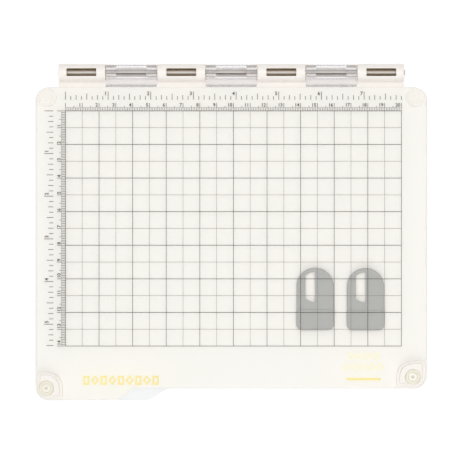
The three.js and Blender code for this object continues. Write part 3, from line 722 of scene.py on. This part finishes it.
class Print:
    """Thin raised ink on the lid's top."""

    def __init__(self, name, z0=LID_TOP_Z + 0.006, z1=LID_TOP_Z + 0.02):
        self.name, self.verts, self.faces, self.z = name, [], [], (z0, z1)

    def shape(self, points):
        n, k = len(points), len(self.verts)
        self.verts += [(x, y, self.z[0]) for x, y in points] + [(x, y, self.z[1]) for x, y in points]
        self.faces += [tuple(k + i for i in reversed(range(n))), tuple(k + n + i for i in range(n))]
        self.faces += [(k + i, k + (i + 1) % n, k + n + (i + 1) % n, k + n + i) for i in range(n)]

    def ring(self, outer, inner):
        n, k = len(outer), len(self.verts)
        for z in self.z:
            self.verts += [(x, y, z) for x, y in outer] + [(x, y, z) for x, y in inner]
        for i in range(n):
            j = (i + 1) % n
            self.faces += [(k + i, k + n + i, k + n + j, k + j), (k + 2 * n + i, k + 2 * n + j, k + 3 * n + j, k + 3 * n + i),
                           (k + i, k + j, k + 2 * n + j, k + 2 * n + i), (k + n + j, k + n + i, k + 3 * n + i, k + 3 * n + j)]

    def bar(self, x0, y0, x1, y1):
        self.shape([(min(x0, x1), min(y0, y1)), (max(x0, x1), min(y0, y1)), (max(x0, x1), max(y0, y1)), (min(x0, x1), max(y0, y1))])

    def vline(self, x, y0, y1, w):
        self.bar(x - w / 2, y0, x + w / 2, y1)

    def hline(self, y, x0, x1, w):
        self.bar(x0, y - w / 2, x1, y + w / 2)

    def number(self, text, x, y, height, turned=False):
        """A number that ends at x, y, or one turned a quarter to read upwards that starts there."""
        c = bpy.data.curves.new("t", "FONT")
        c.body, c.size, c.align_x, c.resolution_u, c.offset = str(text), height / 0.7, "LEFT" if turned else "RIGHT", 3, 0.07
        o = bpy.data.objects.new("t", c)
        scene.collection.objects.link(o)
        bpy.context.view_layer.update()
        me = bpy.data.meshes.new_from_object(o.evaluated_get(bpy.context.evaluated_depsgraph_get()))
        bm = bmesh.new()
        bm.from_mesh(me)
        bmesh.ops.remove_doubles(bm, verts=bm.verts, dist=1e-4)
        if sum(f.normal.z * f.calc_area() for f in bm.faces) < 0:
            bmesh.ops.reverse_faces(bm, faces=bm.faces)
        kept = bm.faces[:]
        top = bmesh.ops.extrude_face_region(bm, geom=kept)
        moved = [v for v in top["geom"] if isinstance(v, bmesh.types.BMVert)]
        for v in bm.verts:
            v.co.z = self.z[0]
        for v in moved:
            v.co.z = self.z[1]
        bmesh.ops.recalc_face_normals(bm, faces=bm.faces)
        k = len(self.verts)
        bm.verts.index_update()
        for v in bm.verts:
            u, w = v.co.x, v.co.y
            self.verts.append((x - w, y + u, v.co.z) if turned else (x + u, y + w, v.co.z))
        for f in bm.faces:
            self.faces.append(tuple(k + v.index for v in f.verts))
        bm.free()
        bpy.data.objects.remove(o)
        bpy.data.curves.remove(c)
        bpy.data.meshes.remove(me)

    def made(self, material):
        o = link(self.name, self.verts, self.faces)
        return finish_piece(o, material, "lid")


X0, Y0 = GRID_X, GRID_Y
DARK, PALE, TICK, HAIR = 0.34, 0.21, 0.31, 0.27
grid = Print("print_grid")
faint = Print("print_grid_faint")
for i in range(21):
    (grid if i % 2 == 0 else faint).vline(X0 + 10 * i, Y0, Y0 - 140, (DARK if i % 2 == 0 else PALE) * 0.88)
for i in range(15):
    (grid if i % 2 == 0 else faint).hline(Y0 - 10 * i, X0, X0 + 200, DARK if i % 2 == 0 else PALE)

rulers = Print("print_rulers")
mm_band = Print("print_mm_scale")
for i in range(201):
    if i % 10 == 0:
        rulers.vline(X0 + i, Y0 + 2.1, Y0 + 4.7, TICK)
    elif i % 5 == 0:
        rulers.vline(X0 + i, Y0 + 2.1, Y0 + 3.0, TICK * 0.8)
    mm_band.vline(X0 + i, Y0 + 0.1, Y0 + 2.0, HAIR * 0.84)
mm_band.hline(Y0 + 2.0, X0, X0 + 200, 0.12)
for i in range(141):
    if i % 10 == 0:
        rulers.hline(Y0 - i, X0 - 5.0, X0 - 2.5, TICK)
    elif i % 5 == 0:
        rulers.hline(Y0 - i, X0 - 3.7, X0 - 2.5, TICK * 0.8)
    mm_band.hline(Y0 - i, X0 - 2.4, X0 - 0.1, HAIR)
mm_band.vline(X0 - 2.4, Y0, Y0 - 140, 0.12)
INCH = 25.4
for i in range(64):
    length = 4.9 if i % 8 == 0 else 3.7 if i % 4 == 0 else 2.8 if i % 2 == 0 else 2.2
    rulers.vline(X0 + INCH * i / 8, Y0 + 6.6, Y0 + 6.6 + length, TICK * 1.1)
for i in range(45):
    length = 5.4 if i % 8 == 0 else 4.0 if i % 4 == 0 else 3.1 if i % 2 == 0 else 2.5
    rulers.hline(Y0 - INCH * i / 8, X0 - 7.2, X0 - 7.2 - length, TICK * 1.1)
for i in range(1, 21):
    rulers.number(i, X0 + 10 * i - 0.7, Y0 + 2.6, 2.0)
for i in range(1, 15):
    rulers.number(i, X0 - 2.9, Y0 - 10 * i + 0.5, 2.0, turned=True)
for i in range(1, 8):
    rulers.number(i, X0 + INCH * i - 0.8, Y0 + 9.4, 2.1)
for i in range(1, 6):
    rulers.number(i, X0 - 10.2, Y0 - INCH * i + 0.6, 2.1, turned=True)

# plain yellow marks in place of the printed names
marks = Print("print_marks")
for i in range(9):
    cx, cy, wide, tall = -86.3 + 5.15 * i, -88.3, 1.9, 2.75
    if i % 2 == 0:
        outer, inner = (inset([(cx - wide, cy - tall), (cx + wide, cy - tall), (cx + wide, cy + tall), (cx - wide, cy + tall)], d) for d in (0, 1.15))
    else:
        outer, inner = ([(cx, cy - tall - 0.3 + d * 1.3), (cx + wide + 0.6 - d, cy), (cx, cy + tall + 0.3 - d * 1.3), (cx - wide - 0.6 + d, cy)] for d in (0, 1.25))
    marks.ring(outer, inner)
pale_marks = Print("print_marks_pale")
for row, count in ((0, 4), (1, 5)):
    for i in range(count):
        cx, cy = 78.7 + (i - (count - 1) / 2) * 5.0, -73.9 - 6.4 * row
        outer, inner = ([(cx, cy - r), (cx + r, cy), (cx, cy + r), (cx - r, cy)] for r in (2.5, 1.25))
        pale_marks.ring(outer, inner)
marks.shape(rounded([(68.4, -88.3), (89.2, -88.3), (89.2, -86.8), (68.4, -86.8)], 0.7, 5))

grid.made(INK)
faint.made(INK_PALE)
rulers.made(INK)
mm_band.made(INK)
for o in (marks.made(YELLOW), pale_marks.made(YELLOW_PALE)):
    o.visible_shadow = False  # thin translucent ink

# ------------------------------------------------------------------ magnets


def magnet_outline(grow=0.0):
    r = MAGNET_R + grow
    k = MAGNET_CORNER_R + grow
    foot = rounded([(-r, -8), (-r, -MAGNET_TAIL - grow), (r, -MAGNET_TAIL - grow), (r, -8)], [0, k, k, 0], 10)
    return foot + arc(0, 0, r, 0, 180, 60)


def magnet_window(grow=0.0):
    left, right, R, top, bottom = -5.8 - grow, 0.0 + grow, 8.6 + grow, 8.6, -9.4
    reach = math.degrees(math.acos(left / R))
    mid, low = top - 8.6, bottom + 8.6
    pts = arc(0, low, R, 360 - reach, 270, 16) + [(right, low - R), (right, mid + R)] + arc(0, mid, R, 90, reach, 16)
    out = []
    for p in pts:
        if not out or math.dist(p, out[-1]) > 1e-3:
            out.append(p)
    return out


def shifted(points, x, y):
    return [(u + x, v + y) for u, v in points]


for side, (mx, my) in MAGNET_AT.items():
    wide, edge = MAGNET_R, -MAGNET_TAIL + MAGNET_BLOCK
    body = slab("magnet_" + side, shifted(magnet_outline(-0.12), mx, my), 11.0, MAGNET_TOP_Z, top=0.75, bottom=0.2, segs=5)
    tail = rounded([(-wide, -MAGNET_TAIL), (wide, -MAGNET_TAIL), (wide, edge), (-wide, edge)], [MAGNET_CORNER_R + 0.2, MAGNET_CORNER_R + 0.2, 0.5, 0.5], 12)
    merge(body, [slab("tail", shifted(tail, mx, my), 11.0, MAGNET_BLOCK_Z, top=0.5, bottom=0.2, segs=4)])
    cutters = [slab("window", shifted(magnet_window(), mx, my), 10, 15)]
    for u, v in DISC_AT:
        cutters.append(lathe("pocket", [(0, 10), (4.4, 10), (4.4, DISC_TOP_Z + FIT), (0, DISC_TOP_Z + FIT)], mx + u, my + v, 64))
    cut(body, *cutters)
    ease(body, 0.2, 3)
    finish_piece(body, GREY, "magnet_" + side, "magnet_%s_body" % side)
    # painted light: the window walls take the lighter grey
    body.data.materials.append(GREY_WINDOW_LIT)
    for p in body.data.polygons:
        u, v = p.center.x / MM - mx, p.center.y / MM - my
        if abs(p.normal.z) < 0.6 and -6.1 < u < 0.3 and -9.9 < v < 9.0:
            p.material_index = 1
    for i, (u, v) in enumerate(DISC_AT):
        disc = smooth(lathe("disc_%s_%d" % (side, i + 1), [
            (0, 11.0), (3.75, 11.0), (3.92, 11.07), (4.0, 11.25), (4.0, DISC_TOP_Z - 0.25), (3.92, DISC_TOP_Z - 0.07), (3.75, DISC_TOP_Z), (0, DISC_TOP_Z)], mx + u, my + v, 64))
        finish_piece(disc, NICKEL, "magnet_" + side, "magnet_%s_disc_%d" % (side, i + 1))
    pad = slab("pad_" + side, shifted(magnet_outline(-0.7), mx, my), 10.3, 10.7)
    cut(pad, slab("window", shifted(magnet_window(0.8), mx, my), 9, 12))
    ease(pad, 0.08, 2)
    finish_piece(pad, PAD, "magnet_" + side, "magnet_%s_pad" % side)
